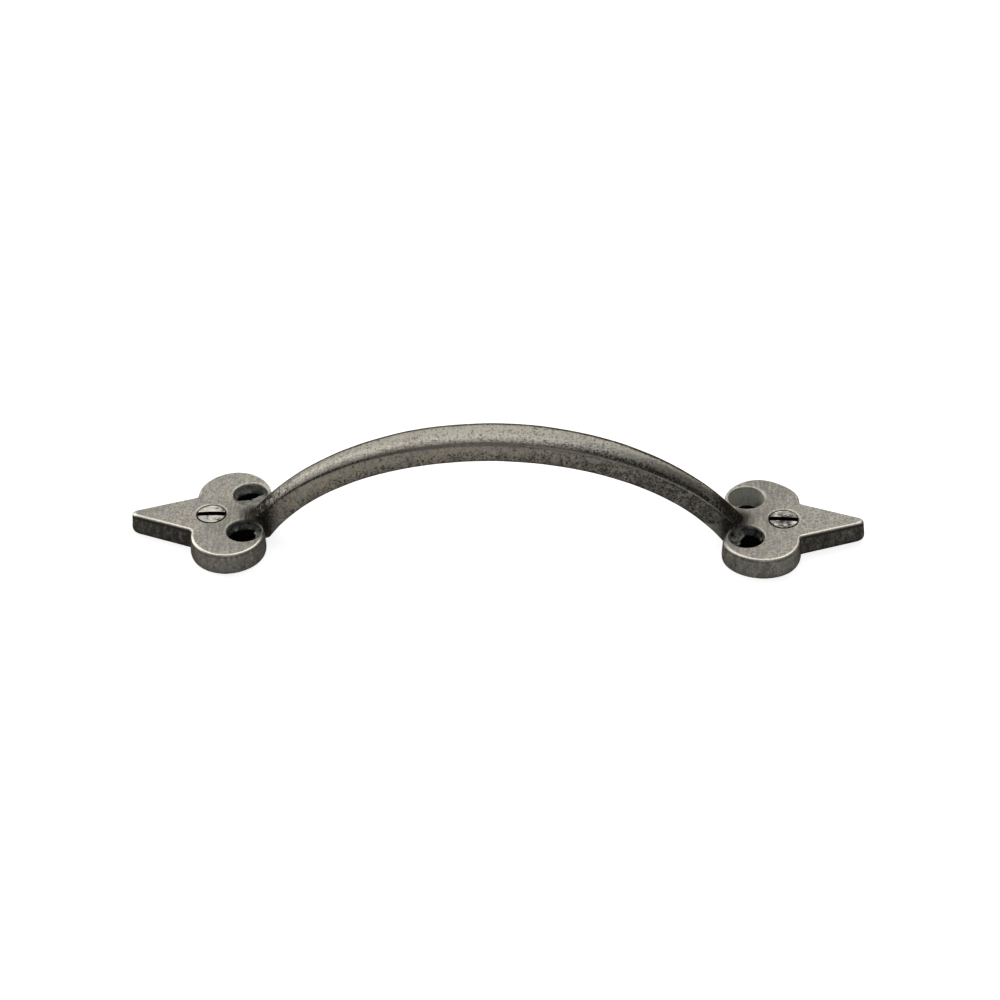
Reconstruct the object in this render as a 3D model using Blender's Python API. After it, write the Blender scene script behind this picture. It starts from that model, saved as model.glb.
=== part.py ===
"""Cast cabinet pull with spade-shaped feet.

The pull is one casting: an arched bow with a domed outer face that runs down
into a flat foot at each end. A foot has a point, two round lobes and a round
opening in each lobe, and one countersunk slotted wood screw holds it.

Metres, +Z out of the surface that the pull is screwed to. The origin lies
midway between the screws on that surface, and +X runs along the pull.
"""

import math

import bmesh
import bpy
from mathutils import Vector

MM = 0.001

# Driving sizes of the whole pull
SCREW_SPACING = 127.0 * MM       # between the two screw centres
BOW_CROWN_HEIGHT = 25.2 * MM     # middle of the bow's section at its crown

# The foot, seen from above. OUT is measured from the screw centre, away from
# the bow, and ACROSS from the pull's centre line.
PLATE_THICKNESS = 4.9 * MM
POINT_OUT = 17.7 * MM            # end of the point
POINT_RADIUS = 1.6 * MM          # rounding of the point
POINT_HALF_ANGLE = math.radians(21.0)
LOBE_OUT = -4.7 * MM             # centre of a lobe
LOBE_ACROSS = 7.35 * MM
LOBE_RADIUS = 8.4 * MM
NOTCH_RADIUS = 0.5 * MM          # fillet between the point and a lobe
SIDE_DRAFT = 0.25 * MM           # how far the sides lean in over the thickness
TOP_ROUNDING = 0.6 * MM          # rounded edge of the top face

# The round opening in each lobe, with the thin flash of the casting in it. The
# openings were cored by hand, so each one sits at its own place across.
OPENING_ACROSS = {
    ("left", "far"): 7.45 * MM,
    ("left", "near"): -6.2 * MM,
    ("right", "far"): 8.0 * MM,
    ("right", "near"): -6.4 * MM,
}
OPENING_RADIUS = 3.85 * MM
OPENING_WALL = 1.0 * MM          # metal left between it and the lobe's inner edge
OPENING_RIM = 0.3 * MM           # rounded rim at the top
FLASH_HEIGHT = 2.9 * MM          # the flash, above the foot's back
FLASH_ROOT = 0.45 * MM           # half its thickness where it leaves the wall
FLASH_EDGE = 0.12 * MM           # half its thickness at its ragged edge

# The bow. Its middle line is part of an ellipse, which meets the foot's face
# at the inner edge of the lobes.
BOW_RISE = 41.0 * MM             # half axis of the ellipse along Z
BOW_THICKNESS = 6.3 * MM         # in the plane of the arch, dome included
BOW_DOME = 1.25 * MM             # height of the domed outer face
BOW_CROWN_WIDTH = 8.5 * MM       # across, at the crown
BOW_ROOT_WIDTH = 5.2 * MM        # across, where it enters the foot
BOW_ARRIS_ROUNDING = 0.4 * MM    # between the dome and the sides
BOW_CROWN_ROUNDING = 1.6 * MM    # between the sides and the inner face
BOW_ROOT_ROUNDING = 0.7 * MM
ROOT_FILLET = 0.6 * MM           # fillet between the bow and the foot's face
ROOT_OVERLAP = 0.8 * MM          # how far the lobes' curves run in under the bow
ROOT_REACH = 4.0 * MM            # length of bow with finer steps before the foot

# The screw and its seat
SCREW_LENGTH = 16.0 * MM
SHANK_DIAMETER = 3.5 * MM
HEAD_DIAMETER = 6.2 * MM
HEAD_HALF_ANGLE = math.radians(41.0)
HEAD_LAND = 0.2 * MM             # straight edge of the head
HEAD_CAMBER = 0.25 * MM          # how much the head's top is domed
SLOT_WIDTH = 0.9 * MM
SLOT_DEPTH = 0.9 * MM
SCREW_POINT_LENGTH = 4.0 * MM
SCREW_TIP_DIAMETER = 0.5 * MM
SLOT_TURN = {"left": math.radians(2.0), "right": math.radians(-3.0)}
FIT_CLEARANCE = 0.3 * MM         # between the screw and its seat

# Stock below the back, which one flat cut takes off
BACK_STOCK = 2.5 * MM
CUTTER_MARGIN = 5.0 * MM         # how far a cutter reaches past what it cuts

# Fineness of the curves
LOBE_STEPS = 30
CORNER_STEPS = 4
DOME_STEPS = 8
FLAT_STEPS = 3
ROUNDING_STEPS = 4
OPENING_STEPS = 40
BOW_STATIONS = 56
ROOT_STATIONS = 12
SCREW_STEPS = 40

SCREW_X = SCREW_SPACING / 2
LOBE_EDGE_X = SCREW_X + LOBE_OUT - LOBE_RADIUS
OPENING_OUT = LOBE_OUT - (LOBE_RADIUS - OPENING_WALL - OPENING_RADIUS)
ROOT_X = LOBE_EDGE_X + OPENING_WALL
BOW_CENTRE_HEIGHT = BOW_CROWN_HEIGHT - BOW_RISE
LANDING_SHARE = (PLATE_THICKNESS - BOW_CENTRE_HEIGHT) / BOW_RISE
BOW_HALF_SPAN = LOBE_EDGE_X / math.sqrt(1.0 - LANDING_SHARE ** 2)

# Ragged gap in the flash of each opening: its centre (out, across) from the
# opening's centre, its half sizes along and across its tilt, the tilt, and the
# phase of its ripples. The opening that is missing here came out clean.
FLASH_GAPS = {
    ("left", "far"): ((0.0 * MM, 1.7 * MM), (3.5 * MM, 1.15 * MM), math.radians(-27.0), 0.4),
    ("left", "near"): ((0.7 * MM, 0.4 * MM), (3.4 * MM, 2.9 * MM), math.radians(-12.0), 1.7),
    ("right", "near"): ((1.1 * MM, 0.3 * MM), (2.5 * MM, 3.1 * MM), math.radians(15.0), 3.1),
}
# Ripples of a gap's edge: how many go round, their height as a share of the
# reach, and how far the phase turns them.
FLASH_RIPPLES = ((3, 0.12, 1.0), (7, 0.09, 2.3), (11, 0.07, 4.1))

BRONZE = ("pale_bronze", (0.40, 0.37, 0.33, 1.0), 0.42, 1.0)
NICKEL = ("screw_metal", (0.52, 0.50, 0.46, 1.0), 0.30, 1.0)


def clear_scene():
    for obj in list(bpy.data.objects):
        bpy.data.objects.remove(obj, do_unlink=True)


def make_material(name, colour, roughness, metallic):
    material = bpy.data.materials.new(name)
    material.use_nodes = True
    shader = material.node_tree.nodes["Principled BSDF"]
    shader.inputs["Base Color"].default_value = colour
    shader.inputs["Roughness"].default_value = roughness
    shader.inputs["Metallic"].default_value = metallic
    return material


def arc(centre, radius, start, end, steps):
    """Points on an arc from angle start to angle end, both ends included."""
    points = []
    for i in range(steps + 1):
        angle = start + (end - start) * i / steps
        x = centre[0] + radius * math.cos(angle)
        y = centre[1] + radius * math.sin(angle)
        points.append((x, y))
    return points


def loft(name, rings, smooth_angle=35.0):
    """A closed solid through rings that have the same number of points."""
    bm = bmesh.new()
    loops = []
    for ring in rings:
        loops.append([bm.verts.new(point) for point in ring])
    for lower, upper in zip(loops, loops[1:]):
        for i, vert in enumerate(lower):
            j = (i + 1) % len(lower)
            bm.faces.new((vert, lower[j], upper[j], upper[i]))
    bm.faces.new(list(reversed(loops[0])))
    bm.faces.new(loops[-1])
    bmesh.ops.recalc_face_normals(bm, faces=bm.faces)
    mesh = bpy.data.meshes.new(name)
    bm.to_mesh(mesh)
    bm.free()
    mesh.shade_smooth()
    mesh.set_sharp_from_angle(angle=math.radians(smooth_angle))
    obj = bpy.data.objects.new(name, mesh)
    bpy.context.scene.collection.objects.link(obj)
    return obj


def make_guide(obj):
    """Marks an object that only shapes another one."""
    obj.hide_render = True
    obj.display_type = "WIRE"
    return obj


def combine(target, other, operation):
    modifier = target.modifiers.new(other.name, "BOOLEAN")
    modifier.operation = operation
    modifier.solver = "EXACT"
    modifier.object = other


def foot_outline(inset):
    """Half of the foot's outline, from the point to the neck, as (out, across).

    The inset moves every side inwards: an outer arc gets smaller and the
    notch's inner arc gets larger, so each outline has the same points.
    """
    side_normal = math.pi / 2 - POINT_HALF_ANGLE
    tip_centre = (POINT_OUT - POINT_RADIUS, 0.0)
    lobe_side = LOBE_OUT + LOBE_RADIUS
    notch_out = lobe_side + NOTCH_RADIUS
    reach = tip_centre[0] * math.cos(side_normal) + POINT_RADIUS + NOTCH_RADIUS
    notch_across = (reach - notch_out * math.cos(side_normal)) / math.sin(side_normal)
    neck_half_width = BOW_ROOT_WIDTH / 2 - ROOT_OVERLAP
    neck = math.pi + math.asin((LOBE_ACROSS - neck_half_width) / LOBE_RADIUS)

    points = arc(tip_centre, POINT_RADIUS - inset, 0.0, side_normal, CORNER_STEPS)
    points += arc((notch_out, notch_across), NOTCH_RADIUS + inset,
                  side_normal + math.pi, math.pi, CORNER_STEPS)
    points += arc((LOBE_OUT, LOBE_ACROSS), LOBE_RADIUS - inset,
                  0.0, neck, LOBE_STEPS)
    return points


def foot_ring(inset, height, side):
    """The whole outline at one height, on the left (-1) or right (1) side."""
    half = foot_outline(inset)
    other_half = [(out, -across) for out, across in reversed(half[1:])]
    ring = []
    for out, across in half + other_half:
        ring.append(Vector((side * (SCREW_X + out), across, height)))
    return ring


def make_foot(name, side):
    shoulder = PLATE_THICKNESS - TOP_ROUNDING
    rings = [foot_ring(0.0, -BACK_STOCK, side), foot_ring(0.0, 0.0, side)]
    for i in range(ROUNDING_STEPS + 1):
        angle = math.pi / 2 * i / ROUNDING_STEPS
        inset = SIDE_DRAFT + TOP_ROUNDING * (1.0 - math.cos(angle))
        height = shoulder + TOP_ROUNDING * math.sin(angle)
        rings.append(foot_ring(inset, height, side))
    return make_guide(loft(name, rings))


def flash_gap_ring(gap, height):
    """The ragged gap in the flash, kept inside the opening's own circle."""
    (gap_out, gap_across), (long_half, short_half), tilt, phase = gap
    ring = []
    for i in range(OPENING_STEPS):
        angle = 2 * math.pi * i / OPENING_STEPS
        turned = angle - tilt
        reach = long_half * short_half / math.hypot(
            short_half * math.cos(turned), long_half * math.sin(turned))
        for count, share, turn in FLASH_RIPPLES:
            reach += reach * share * math.sin(count * angle + turn * phase)
        out = gap_out + reach * math.cos(angle)
        across = gap_across + reach * math.sin(angle)
        excess = max(math.hypot(out, across) / OPENING_RADIUS, 1.0)
        ring.append((out / excess, across / excess, height))
    return ring


def circle_ring(radius, height, steps):
    ring = []
    for i in range(steps):
        angle = 2 * math.pi * i / steps
        ring.append((radius * math.cos(angle), radius * math.sin(angle), height))
    return ring


def place_ring(ring, out, across, side):
    """Moves a ring that is drawn about its own axis to its place on a foot."""
    placed = []
    for x, y, z in ring:
        placed.append(Vector((side * (SCREW_X + out + x), across + y, z)))
    return placed


def make_opening_cutter(name, side, across, gap):
    """What is taken out of one lobe, down to its flash and on to the back."""
    rings = [circle_ring(OPENING_RADIUS, -2 * BACK_STOCK, OPENING_STEPS)]
    if gap:
        rings.append(circle_ring(OPENING_RADIUS, FLASH_HEIGHT - FLASH_ROOT, OPENING_STEPS))
        rings.append(flash_gap_ring(gap, FLASH_HEIGHT - FLASH_EDGE))
        rings.append(flash_gap_ring(gap, FLASH_HEIGHT + FLASH_EDGE))
        rings.append(circle_ring(OPENING_RADIUS, FLASH_HEIGHT + FLASH_ROOT, OPENING_STEPS))
    for i in range(ROUNDING_STEPS + 1):
        angle = math.pi / 2 * i / ROUNDING_STEPS
        radius = OPENING_RADIUS + OPENING_RIM * (1.0 - math.cos(angle))
        height = PLATE_THICKNESS - OPENING_RIM * (1.0 - math.sin(angle))
        rings.append(circle_ring(radius, height, OPENING_STEPS))
    rings.append(circle_ring(OPENING_RADIUS + OPENING_RIM,
                             PLATE_THICKNESS + BACK_STOCK, OPENING_STEPS))
    placed = [place_ring(ring, OPENING_OUT, across, side) for ring in rings]
    return make_guide(loft(name, placed))


def make_seat_cutter(name, side):
    """The countersunk screw hole, wider than the screw by its clearance."""
    hole_radius = SHANK_DIAMETER / 2 + FIT_CLEARANCE
    mouth_radius = HEAD_DIAMETER / 2 + FIT_CLEARANCE / math.cos(HEAD_HALF_ANGLE)
    cone_depth = (mouth_radius - hole_radius) / math.tan(HEAD_HALF_ANGLE)
    profile = [
        (hole_radius, -2 * BACK_STOCK),
        (hole_radius, PLATE_THICKNESS - cone_depth),
        (mouth_radius, PLATE_THICKNESS),
        (mouth_radius, PLATE_THICKNESS + BACK_STOCK),
    ]
    rings = []
    for radius, height in profile:
        ring = circle_ring(radius, height, SCREW_STEPS)
        rings.append(place_ring(ring, 0.0, 0.0, side))
    return make_guide(loft(name, rings))


def bow_section(width, rounding):
    """Section of the bow as (across, outward), from its right arris round."""
    half_width = width / 2
    half_thickness = BOW_THICKNESS / 2
    dome_radius = (half_width ** 2 + BOW_DOME ** 2) / (2 * BOW_DOME)
    dome_centre = half_thickness - dome_radius
    arris_across = half_width - BOW_ARRIS_ROUNDING
    arris_rise = math.sqrt((dome_radius - BOW_ARRIS_ROUNDING) ** 2 - arris_across ** 2)
    arris_outward = dome_centre + arris_rise
    slope = math.atan2(arris_rise, arris_across)

    points = arc((arris_across, arris_outward), BOW_ARRIS_ROUNDING, 0.0, slope, CORNER_STEPS)
    dome = arc((0.0, dome_centre), dome_radius, slope, math.pi - slope, DOME_STEPS)
    points += dome[1:-1]
    points += arc((-arris_across, arris_outward), BOW_ARRIS_ROUNDING,
                  math.pi - slope, math.pi, CORNER_STEPS)
    inner_across = half_width - rounding
    inner_outward = rounding - half_thickness
    points += arc((-inner_across, inner_outward), rounding,
                  math.pi, 1.5 * math.pi, CORNER_STEPS)
    for i in range(1, FLAT_STEPS):
        points.append((inner_across * (2 * i / FLAT_STEPS - 1), -half_thickness))
    points += arc((inner_across, inner_outward), rounding,
                  1.5 * math.pi, 2 * math.pi, CORNER_STEPS)
    return points


def bow_angles():
    """Stations along the bow's ellipse, closer together at both roots."""
    end = math.acos((-BACK_STOCK - BOW_CENTRE_HEIGHT) / BOW_RISE)
    dense = math.asin((ROOT_X - ROOT_REACH) / BOW_HALF_SPAN)
    middle = [-dense + 2 * dense * i / BOW_STATIONS for i in range(BOW_STATIONS + 1)]
    right = [dense + (end - dense) * i / ROOT_STATIONS for i in range(1, ROOT_STATIONS + 1)]
    left = [-angle for angle in reversed(right)]
    return left + middle + right


def root_push(height):
    """How far the fillet at the foot's face widens the bow at that height."""
    above = max(height - PLATE_THICKNESS, 0.0)
    rest = max(ROOT_FILLET - above, 0.0)
    return ROOT_FILLET - math.sqrt(ROOT_FILLET ** 2 - rest ** 2)


def bow_ring(angle):
    x = BOW_HALF_SPAN * math.sin(angle)
    z = BOW_CENTRE_HEIGHT + BOW_RISE * math.cos(angle)
    tangent = Vector((BOW_HALF_SPAN * math.cos(angle), 0.0, -BOW_RISE * math.sin(angle)))
    tangent.normalize()
    normal = Vector((-tangent.z, 0.0, tangent.x))
    taper = min((x / ROOT_X) ** 2, 1.0)
    width = BOW_CROWN_WIDTH + (BOW_ROOT_WIDTH - BOW_CROWN_WIDTH) * taper
    rounding = BOW_CROWN_ROUNDING + (BOW_ROOT_ROUNDING - BOW_CROWN_ROUNDING) * taper
    ring = []
    for across, outward in bow_section(width, rounding):
        point = Vector((x, across, z)) + normal * outward
        facing = max(outward / (BOW_THICKNESS / 2), 0.0)
        point.x += math.copysign(root_push(point.z), x) * facing
        ring.append(point)
    return ring


def make_bow(name):
    return loft(name, [bow_ring(angle) for angle in bow_angles()], 25.0)


def make_back_cutter(name):
    """The flat cut that leaves both feet and the bow's ends flush at the back."""
    reach_x = SCREW_X + POINT_OUT + CUTTER_MARGIN
    reach_y = LOBE_ACROSS + LOBE_RADIUS + CUTTER_MARGIN
    bow_end = -BACK_STOCK - BOW_THICKNESS / 2
    corners = [(-reach_x, -reach_y), (reach_x, -reach_y), (reach_x, reach_y), (-reach_x, reach_y)]
    rings = []
    for height in (bow_end - CUTTER_MARGIN, 0.0):
        rings.append([Vector((x, y, height)) for x, y in corners])
    return make_guide(loft(name, rings))


def make_casting(material):
    casting = make_bow("cast_pull")
    for side_name, side in (("left", -1), ("right", 1)):
        foot = make_foot(side_name + "_foot", side)
        for place in ("far", "near"):
            across = OPENING_ACROSS[side_name, place]
            gap = FLASH_GAPS.get((side_name, place))
            name = side_name + "_" + place + "_opening"
            combine(foot, make_opening_cutter(name, side, across, gap), "DIFFERENCE")
        combine(foot, make_seat_cutter(side_name + "_seat", side), "DIFFERENCE")
        combine(casting, foot, "UNION")
    combine(casting, make_back_cutter("back_cut"), "DIFFERENCE")
    casting.data.materials.append(material)
    return casting


def screw_profile():
    """Half profile of the screw as (radius, height), from its head's top down."""
    head_radius = HEAD_DIAMETER / 2
    shank_radius = SHANK_DIAMETER / 2
    cone_depth = (head_radius - shank_radius) / math.tan(HEAD_HALF_ANGLE)
    head_edge = PLATE_THICKNESS
    tip = head_edge + HEAD_LAND - SCREW_LENGTH
    profile = []
    for i in range(ROUNDING_STEPS):
        share = (i + 1) / ROUNDING_STEPS
        camber = HEAD_CAMBER * (1.0 - share ** 2)
        profile.append((head_radius * share, head_edge + HEAD_LAND + camber))
    profile.append((head_radius, head_edge))
    profile.append((shank_radius, head_edge - cone_depth))
    profile.append((shank_radius, tip + SCREW_POINT_LENGTH))
    profile.append((SCREW_TIP_DIAMETER / 2, tip))
    return profile


def make_screw(name, side, slot_turn, material):
    rings = []
    for radius, height in screw_profile():
        rings.append(circle_ring(radius, height, SCREW_STEPS))
    screw = loft(name, [[Vector(point) for point in ring] for ring in rings])
    screw.location = (side * SCREW_X, 0.0, 0.0)
    screw.rotation_euler = (0.0, 0.0, slot_turn)

    top = PLATE_THICKNESS + HEAD_LAND + HEAD_CAMBER
    floor = PLATE_THICKNESS + HEAD_LAND - SLOT_DEPTH
    half_length = HEAD_DIAMETER
    half_width = SLOT_WIDTH / 2
    corners = ((-half_length, -half_width), (half_length, -half_width),
               (half_length, half_width), (-half_length, half_width))
    slot_rings = []
    for height in (floor, top + HEAD_LAND):
        slot_rings.append([Vector((x, y, height)) for x, y in corners])
    slot = make_guide(loft(name + "_slot", slot_rings))
    slot.location = screw.location
    slot.rotation_euler = screw.rotation_euler
    combine(screw, slot, "DIFFERENCE")
    screw.data.materials.append(material)
    return screw


def main():
    clear_scene()
    make_casting(make_material(*BRONZE))
    screw_material = make_material(*NICKEL)
    make_screw("left_screw", -1, SLOT_TURN["left"], screw_material)
    make_screw("right_screw", 1, SLOT_TURN["right"], screw_material)


main()
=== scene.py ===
# %% [markdown]
# # A cast cabinet pull with spade-shaped feet
#
# The real pull is one bronze casting with an arched bow and two flat feet. It
# was ground flat on its faces, darkened with a patina and then rubbed, so the
# faces and edges are pale and the hollows stay dark. Two slotted screws hold
# it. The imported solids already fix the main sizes. This script gives them
# their surface: a finer casting, threaded screws, the patina and the studio.

import math
from types import SimpleNamespace

import bmesh
import bpy
import numpy as np
from mathutils import Matrix, Vector


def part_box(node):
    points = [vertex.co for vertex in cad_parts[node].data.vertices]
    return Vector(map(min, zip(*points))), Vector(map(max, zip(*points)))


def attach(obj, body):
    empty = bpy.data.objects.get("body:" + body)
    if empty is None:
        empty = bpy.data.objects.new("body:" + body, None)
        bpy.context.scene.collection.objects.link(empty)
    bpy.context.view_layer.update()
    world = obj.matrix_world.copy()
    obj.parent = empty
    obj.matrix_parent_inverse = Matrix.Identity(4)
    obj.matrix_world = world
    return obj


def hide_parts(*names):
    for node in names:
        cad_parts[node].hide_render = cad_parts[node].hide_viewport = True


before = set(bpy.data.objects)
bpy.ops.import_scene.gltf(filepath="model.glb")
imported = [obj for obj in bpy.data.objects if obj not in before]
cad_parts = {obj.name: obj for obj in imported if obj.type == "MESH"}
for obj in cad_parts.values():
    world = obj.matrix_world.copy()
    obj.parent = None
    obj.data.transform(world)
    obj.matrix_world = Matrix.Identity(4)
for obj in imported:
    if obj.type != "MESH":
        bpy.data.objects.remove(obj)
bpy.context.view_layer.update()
print("solids:", sorted(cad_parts))

# %% [markdown]
# ## Sizes
#
# Where a size can be read from the solids, it is: the screw centres and the
# overall reach come from their boxes. The others are the foundry's sizes, in
# millimetres times MM, because Blender works in metres.

# %% Sizes of the pull
MM = 0.001

screw_low, screw_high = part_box("right_screw")
pull_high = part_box("cast_pull")[1]
SCREW_X = (screw_low.x + screw_high.x) / 2
POINT_OUT = pull_high.x - SCREW_X
HEAD_RADIUS = (screw_high.x - screw_low.x) / 2

PLATE_THICKNESS = 4.9 * MM
LOBE_OUT = -4.7 * MM
LOBE_ACROSS = 7.35 * MM
LOBE_RADIUS = pull_high.y - LOBE_ACROSS
POINT_RADIUS = 1.6 * MM
POINT_HALF_ANGLE = math.radians(21.0)
NOTCH_RADIUS = 0.5 * MM
SIDE_DRAFT = 0.25 * MM
TOP_ROUNDING = 0.45 * MM
OPENING_ACROSS = {
    ("left", "far"): 7.45 * MM,
    ("left", "near"): -6.2 * MM,
    ("right", "far"): 8.0 * MM,
    ("right", "near"): -6.4 * MM,
}
OPENING_RADIUS = 3.85 * MM
OPENING_WALL = 1.0 * MM
OPENING_RIM = 0.3 * MM

BOW_RISE = 41.0 * MM
BOW_THICKNESS = 6.3 * MM
BOW_DOME = 1.25 * MM
BOW_CROWN_WIDTH = 8.5 * MM
BOW_ROOT_WIDTH = 5.2 * MM
ROOT_OVERLAP = 0.8 * MM

SIDES = {"left": -1, "right": 1}
LOBE_EDGE_X = SCREW_X + LOBE_OUT - LOBE_RADIUS
OPENING_OUT = LOBE_OUT - (LOBE_RADIUS - OPENING_WALL - OPENING_RADIUS)
ROOT_X = LOBE_EDGE_X + OPENING_WALL
BOW_CROWN_HEIGHT = pull_high.z - BOW_THICKNESS / 2
BOW_CENTRE_HEIGHT = BOW_CROWN_HEIGHT - BOW_RISE
LANDING_SHARE = (PLATE_THICKNESS - BOW_CENTRE_HEIGHT) / BOW_RISE
BOW_HALF_SPAN = LOBE_EDGE_X / math.sqrt(1.0 - LANDING_SHARE ** 2)
BACK_STOCK = 2.5 * MM

print(f"screws {2 * SCREW_X / MM:.1f} mm apart, bow {pull_high.z / MM:.1f} mm high")

# %% [markdown]
# ## Writing node trees as sums
#
# Geometry Nodes and shaders both do their arithmetic with Math nodes. A Wire
# wraps one socket, so that `1 - mask * 0.5` adds the nodes for us. Colours
# and vectors have their own nodes, because a Math node would turn a colour
# into a grey number.

# %% A socket that can be added and multiplied
class Wire:
    """An output socket of a node tree, usable in a sum."""

    def __init__(self, graph, socket):
        self.graph = graph
        self.socket = socket

    def out(self, name):
        return Wire(self.graph, self.socket.node.outputs[name])

    def math(self, operation, *others, clamp=False):
        settings = {"operation": operation, "use_clamp": clamp}
        values = dict(enumerate((self,) + others))
        return self.graph.add("ShaderNodeMath", settings, values)

    def __add__(self, other):
        return self.math("ADD", other)

    def __radd__(self, other):
        return self + other

    def __sub__(self, other):
        return self.math("SUBTRACT", other)

    def __rsub__(self, other):
        return self * -1.0 + other

    def __mul__(self, other):
        return self.math("MULTIPLY", other)

    def __truediv__(self, other):
        return self.math("DIVIDE", other)

    def __pow__(self, other):
        return self.math("POWER", other)

    def __neg__(self):
        return self * -1.0

    def sin(self):
        return self.math("SINE")

    def cos(self):
        return self.math("COSINE")

    def abs(self):
        return self.math("ABSOLUTE")

    def above(self, limit):
        return self.math("GREATER_THAN", limit)

    def clamped(self):
        return self.math("ADD", 0.0, clamp=True)

    def step(self, low, high):
        """0 below low, 1 above high and a smooth rise between them."""
        settings = {"interpolation_type": "SMOOTHSTEP"}
        return self.graph.add("ShaderNodeMapRange", settings,
                              {"Value": self, "From Min": low, "From Max": high})

    def line(self, centre, half_width):
        """1 at the centre value, falling to 0 half a width away."""
        return 1.0 - (self - centre).abs().step(0.0, half_width)


class Graph:
    """A node tree with one method that adds any node."""

    def __init__(self, tree):
        self.tree = tree

    def add(self, kind, settings=None, sockets=None, output=0):
        node = self.tree.nodes.new(kind)
        for name, value in (settings or {}).items():
            setattr(node, name, value)
        for key, value in (sockets or {}).items():
            if isinstance(value, Wire):
                self.tree.links.new(value.socket, node.inputs[key])
            else:
                node.inputs[key].default_value = value
        return Wire(self, node.outputs[output]) if node.outputs else node

    def mix(self, factor, first, second):
        """Blends two colours. A Mix node's colour sockets are 6 and 7, its result is 2."""
        return self.add("ShaderNodeMix", {"data_type": "RGBA"},
                        {0: factor, 6: first, 7: second}, output=2)

    def xyz(self, x, y, z):
        return self.add("ShaderNodeCombineXYZ", None, {0: x, 1: y, 2: z})


# %% [markdown]
# ## Geometry Nodes helpers
#
# A tree gets named inputs for its sizes, so that it can be read and tried by
# hand in the editor. The modifier keeps each value under the socket's
# identifier and not its name. The result becomes a plain mesh.

# %% Build a tree, run it once and keep the mesh
FLOAT = "NodeSocketFloat"
GEOMETRY = "NodeSocketGeometry"


def geometry_tree(name, sizes):
    """A new tree with one float input for each name, and its two graph ends."""
    tree = bpy.data.node_groups.new(name, "GeometryNodeTree")
    tree.interface.new_socket("Geometry", in_out="INPUT", socket_type=GEOMETRY)
    for size in sizes:
        tree.interface.new_socket(size, in_out="INPUT", socket_type=FLOAT)
    tree.interface.new_socket("Geometry", in_out="OUTPUT", socket_type=GEOMETRY)
    graph = Graph(tree)
    first = graph.add("NodeGroupInput")
    return graph, {name: first.out(name) for name in ["Geometry", *sizes]}


def close_tree(graph, geometry, material):
    """Ends a tree in Realize Instances and Set Material."""
    real = graph.add("GeometryNodeRealizeInstances", None, {"Geometry": geometry})
    painted = graph.add("GeometryNodeSetMaterial", None,
                        {"Geometry": real, "Material": material})
    graph.add("NodeGroupOutput", None, {"Geometry": painted})


def link_object(name, mesh):
    obj = bpy.data.objects.new(name, mesh)
    bpy.context.scene.collection.objects.link(obj)
    return obj


def apply_modifiers(obj):
    """Replaces an object's mesh by what its modifiers make of it."""
    depsgraph = bpy.context.evaluated_depsgraph_get()
    made = bpy.data.meshes.new_from_object(obj.evaluated_get(depsgraph))
    obj.modifiers.clear()
    obj.data = made


def run_tree(obj, tree, sizes):
    modifier = obj.modifiers.new(tree.name, "NODES")
    modifier.node_group = tree
    for item in tree.interface.items_tree:
        if item.in_out == "INPUT" and item.name in sizes:
            modifier[item.identifier] = sizes[item.name]
    apply_modifiers(obj)


# %% [markdown]
# ## Materials first
#
# The trees set their material, so the materials exist before the pieces. They
# are empty here and get their nodes further down, next to their explanation.

# %% Empty materials
def new_material(name):
    material = bpy.data.materials.new(name)
    material.use_nodes = True
    material.node_tree.nodes.clear()
    return material


bronze = new_material("rubbed_bronze")
nickel = new_material("tarnished_nickel")

# %% [markdown]
# ## The bow
#
# The bow follows a rule: its middle line is part of an ellipse, its section
# has a domed outer face, flat sides and a flat inner face, and its width
# tapers to the feet. So it is a Geometry Nodes sweep. A line is bent into the
# ellipse, a rounded rectangle gets its dome, Curve to Mesh sweeps it, and a
# last step narrows the bar. A little noise keeps it from looking machined,
# as a bar that was cast and filed by hand never is quite even.

# %% The sweep
BOW_SIZES = {
    "Half Span": BOW_HALF_SPAN,
    "Rise": BOW_RISE,
    "Centre Height": BOW_CENTRE_HEIGHT,
    "End Angle": math.acos((-BACK_STOCK - BOW_CENTRE_HEIGHT) / BOW_RISE),
    "Thickness": BOW_THICKNESS,
    "Dome": BOW_DOME,
    "Width": BOW_CROWN_WIDTH,
    "Root Share": BOW_ROOT_WIDTH / BOW_CROWN_WIDTH,
    "Root Reach": ROOT_X,
    "Arris Rounding": 0.45 * MM,
    "Back Rounding": 1.6 * MM,
    "Right Arm Wider": 0.035,
    "Waviness": 0.09 * MM,
    "Waves Per Metre": 110.0,
}
BOW_STATIONS = 400
SECTION_POINTS = 120
ROUNDING_POINTS = 8


def bow_arch(graph, size):
    """A straight line bent into part of an ellipse."""
    line = graph.add("GeometryNodeCurvePrimitiveLine")
    line = graph.add("GeometryNodeResampleCurve", {"mode": "COUNT"},
                     {"Curve": line, "Count": BOW_STATIONS})
    share = graph.add("GeometryNodeSplineParameter").out("Factor")
    angle = (share * 2.0 - 1.0) * size["End Angle"]
    arch = graph.xyz(size["Half Span"] * angle.sin(), 0.0,
                     size["Centre Height"] + size["Rise"] * angle.cos())
    return graph.add("GeometryNodeSetPosition", None, {"Geometry": line, "Position": arch})


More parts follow.
